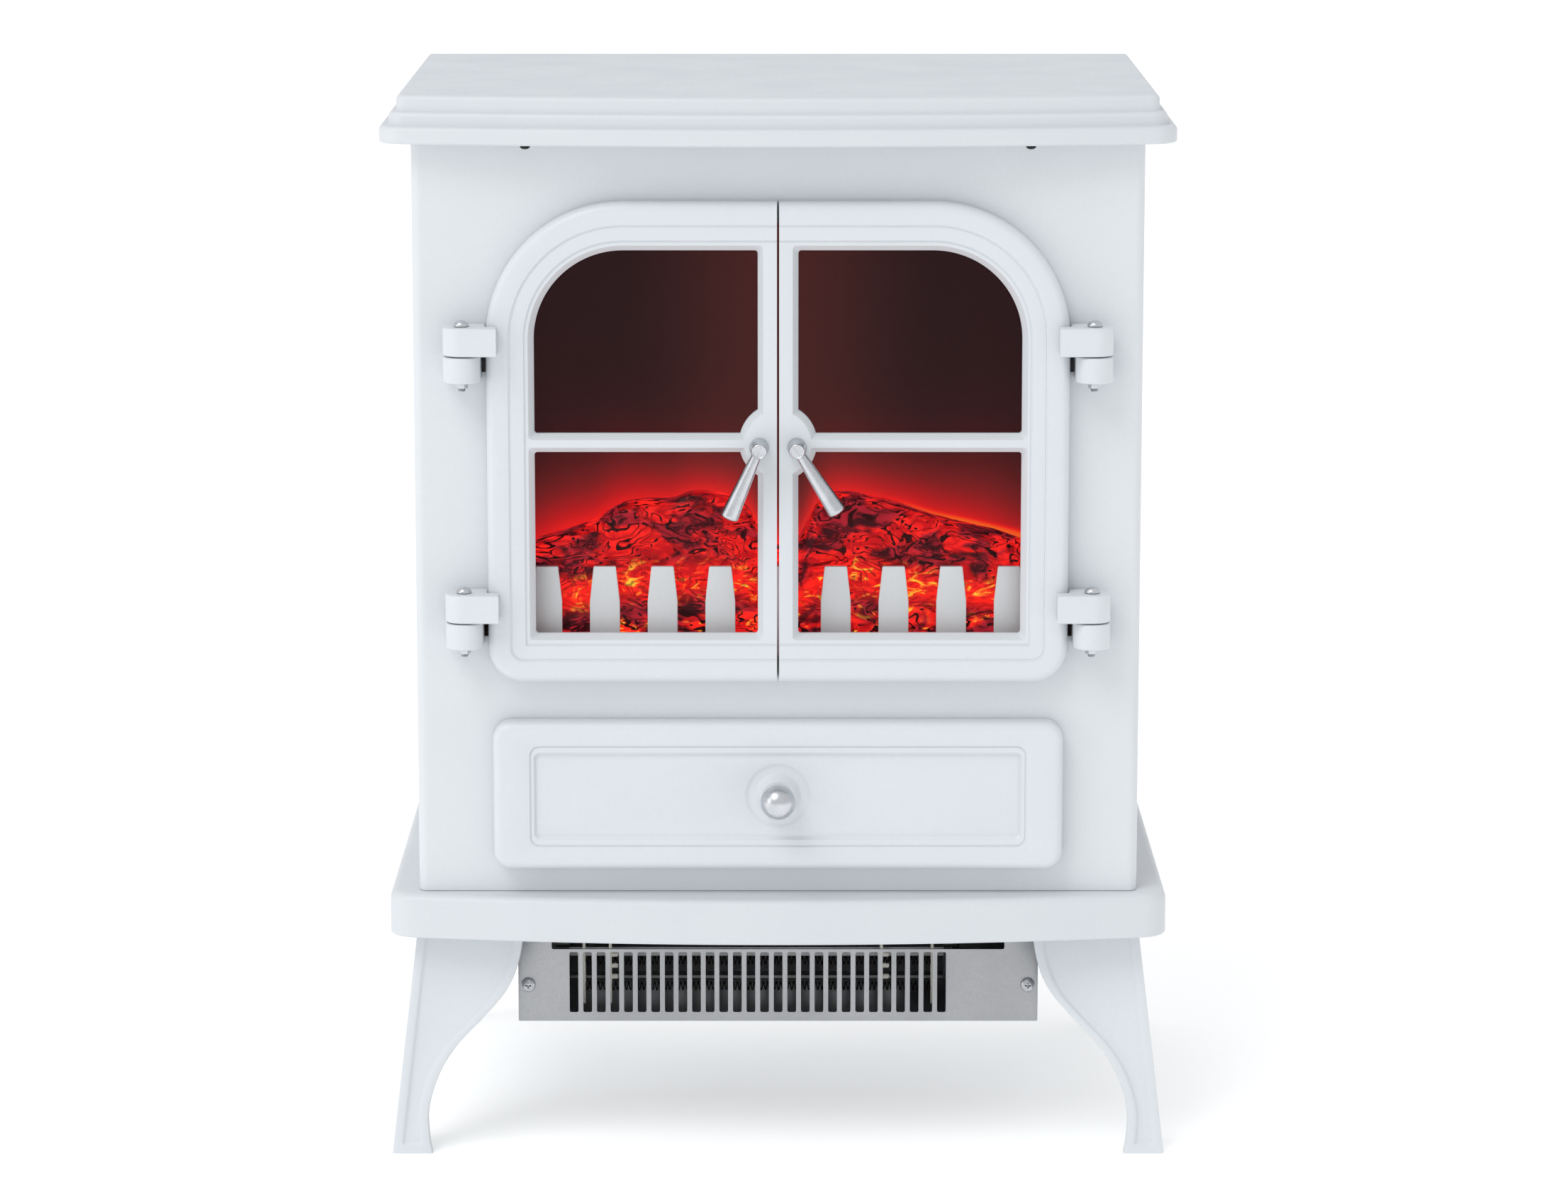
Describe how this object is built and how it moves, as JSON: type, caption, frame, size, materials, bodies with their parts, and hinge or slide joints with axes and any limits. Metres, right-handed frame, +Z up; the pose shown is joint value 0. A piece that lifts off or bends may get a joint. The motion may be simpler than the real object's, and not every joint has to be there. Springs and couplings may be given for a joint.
{
  "type": "electric fireplace",
  "caption": "Freestanding electric fireplace with arched glazed double doors, a glowing log effect, a drop-down control flap and a fan heater slung below.",
  "frame": {"origin": "on the floor, under the centre of the object's bounding box", "axes": "+Z up, -Y towards the front with the doors, +X to the right seen from the front"},
  "size_m": [0.42, 0.3032, 0.575],
  "materials": {
    "white_board": "satin white lacquer over moulded fibreboard",
    "white_enamel": "satin white enamel over sheet and cast steel",
    "rear_sheet": "plain white primer-coated sheet steel",
    "black_sheet": "matt black heat-resistant paint",
    "fence_grey": "light grey satin paint",
    "grey_sheet": "plain galvanised sheet with a fine rolled grain",
    "satin_silver": "satin silver plate",
    "bright_screw": "bright zinc plate",
    "smoked_glass": "lightly smoked toughened glass",
    "flame_screen": "frosted acrylic, lit from behind in deep red",
    "log_resin": "translucent cast resin, lit from below in orange and red",
    "white_plastic": "moulded white plastic",
    "black_plastic": "moulded black plastic",
    "ceramic": "unglazed white ceramic",
    "lamp_glass": "clear lamp glass",
    "foil": "bright foil"
  },
  "bodies": {
    "root": {"top_plate": "white_board", "base_plate": "white_board", "body_shell": "white_enamel", "back_panel": "rear_sheet", "light_box": "rear_sheet", "firebox_liner": "black_sheet", "top_screw_left": "black_sheet", "top_screw_right": "black_sheet", "fence": "fence_grey", "heater_housing": "grey_sheet", "heater_grille": "grey_sheet", "spindle_motor": "grey_sheet", "grille_screw_left": "bright_screw", "grille_screw_right": "bright_screw", "flame_screen": "flame_screen", "log_set": "log_resin", "control_panel": "white_plastic", "lamp_bracket": "white_plastic", "cord_gland": "black_plastic", "switch_block": "black_plastic", "thermostat_body": "black_plastic", "dimmer_body": "black_plastic", "fan_motor": "black_plastic", "thermal_cutout": "black_plastic", "heating_element": "ceramic", "lamp_left": "lamp_glass", "lamp_right": "lamp_glass", "front_left_leg": "white_enamel", "front_right_leg": "white_enamel", "rear_left_leg": "white_enamel", "rear_right_leg": "white_enamel", "left_upper_hinge_block": "white_enamel", "left_upper_hinge_pin": "satin_silver", "left_lower_hinge_block": "white_enamel", "left_lower_hinge_pin": "satin_silver", "right_upper_hinge_block": "white_enamel", "right_upper_hinge_pin": "satin_silver", "right_lower_hinge_block": "white_enamel", "right_lower_hinge_pin": "satin_silver"},
    "left_door": {"left_door_frame": "white_enamel", "left_door_glass": "smoked_glass", "left_upper_hinge_arm": "white_enamel", "left_lower_hinge_arm": "white_enamel"},
    "left_handle": {"left_handle": "satin_silver"},
    "right_door": {"right_door_frame": "white_enamel", "right_door_glass": "smoked_glass", "right_upper_hinge_arm": "white_enamel", "right_lower_hinge_arm": "white_enamel"},
    "right_handle": {"right_handle": "satin_silver"},
    "control_flap": {"control_flap": "white_enamel", "flap_knob": "satin_silver"},
    "flame_switch": {"flame_switch": "black_plastic"},
    "low_heat_switch": {"low_heat_switch": "black_plastic"},
    "high_heat_switch": {"high_heat_switch": "black_plastic"},
    "dimmer_knob": {"dimmer_knob": "black_plastic"},
    "thermostat_knob": {"thermostat_knob": "black_plastic"},
    "flame_spindle": {"flame_spindle": "foil"},
    "fan_impeller": {"fan_impeller": "grey_sheet"}
  },
  "joints": [
    {"name": "left_door_hinge", "type": "hinge", "parent": "root", "child": "left_door", "pos_m": [-0.16675, -0.13035, 0.39], "axis": [0, 0, -1], "range_deg": [0, 110]},
    {"name": "right_door_hinge", "type": "hinge", "parent": "root", "child": "right_door", "pos_m": [0.16675, -0.13035, 0.39], "axis": [0, 0, 1], "range_deg": [0, 110]},
    {"name": "left_handle_turn", "type": "hinge", "parent": "left_door", "child": "left_handle", "pos_m": [-0.01, -0.12755, 0.3895], "axis": [0, 1, 0], "range_deg": [-24, 66]},
    {"name": "right_handle_turn", "type": "hinge", "parent": "right_door", "child": "right_handle", "pos_m": [0.01, -0.12755, 0.3895], "axis": [0, -1, 0], "range_deg": [-33, 57]},
    {"name": "flap_hinge", "type": "hinge", "parent": "root", "child": "control_flap", "pos_m": [0, -0.11935, 0.1624], "axis": [1, 0, 0], "range_deg": [0, 90]},
    {"name": "flame_switch_rock", "type": "hinge", "parent": "root", "child": "flame_switch", "pos_m": [-0.092, -0.09885, 0.2003], "axis": [-1, 0, 0], "range_deg": [0, 12]},
    {"name": "low_heat_switch_rock", "type": "hinge", "parent": "root", "child": "low_heat_switch", "pos_m": [-0.062, -0.09885, 0.2003], "axis": [-1, 0, 0], "range_deg": [0, 12]},
    {"name": "high_heat_switch_rock", "type": "hinge", "parent": "root", "child": "high_heat_switch", "pos_m": [-0.032, -0.09885, 0.2003], "axis": [-1, 0, 0], "range_deg": [0, 12]},
    {"name": "dimmer_knob_turn", "type": "hinge", "parent": "root", "child": "dimmer_knob", "pos_m": [0.022, -0.10155, 0.2003], "axis": [0, 1, 0], "range_deg": [0, 270]},
    {"name": "thermostat_knob_turn", "type": "hinge", "parent": "root", "child": "thermostat_knob", "pos_m": [0.08, -0.10155, 0.2003], "axis": [0, 1, 0], "range_deg": [0, 270]},
    {"name": "flame_spindle_spin", "type": "hinge", "parent": "root", "child": "flame_spindle", "pos_m": [0, -0.03235, 0.33], "axis": [1, 0, 0], "continuous": true},
    {"name": "fan_spin", "type": "hinge", "parent": "root", "child": "fan_impeller", "pos_m": [0, -0.02035, 0.09165], "axis": [1, 0, 0], "continuous": true}
  ]
}
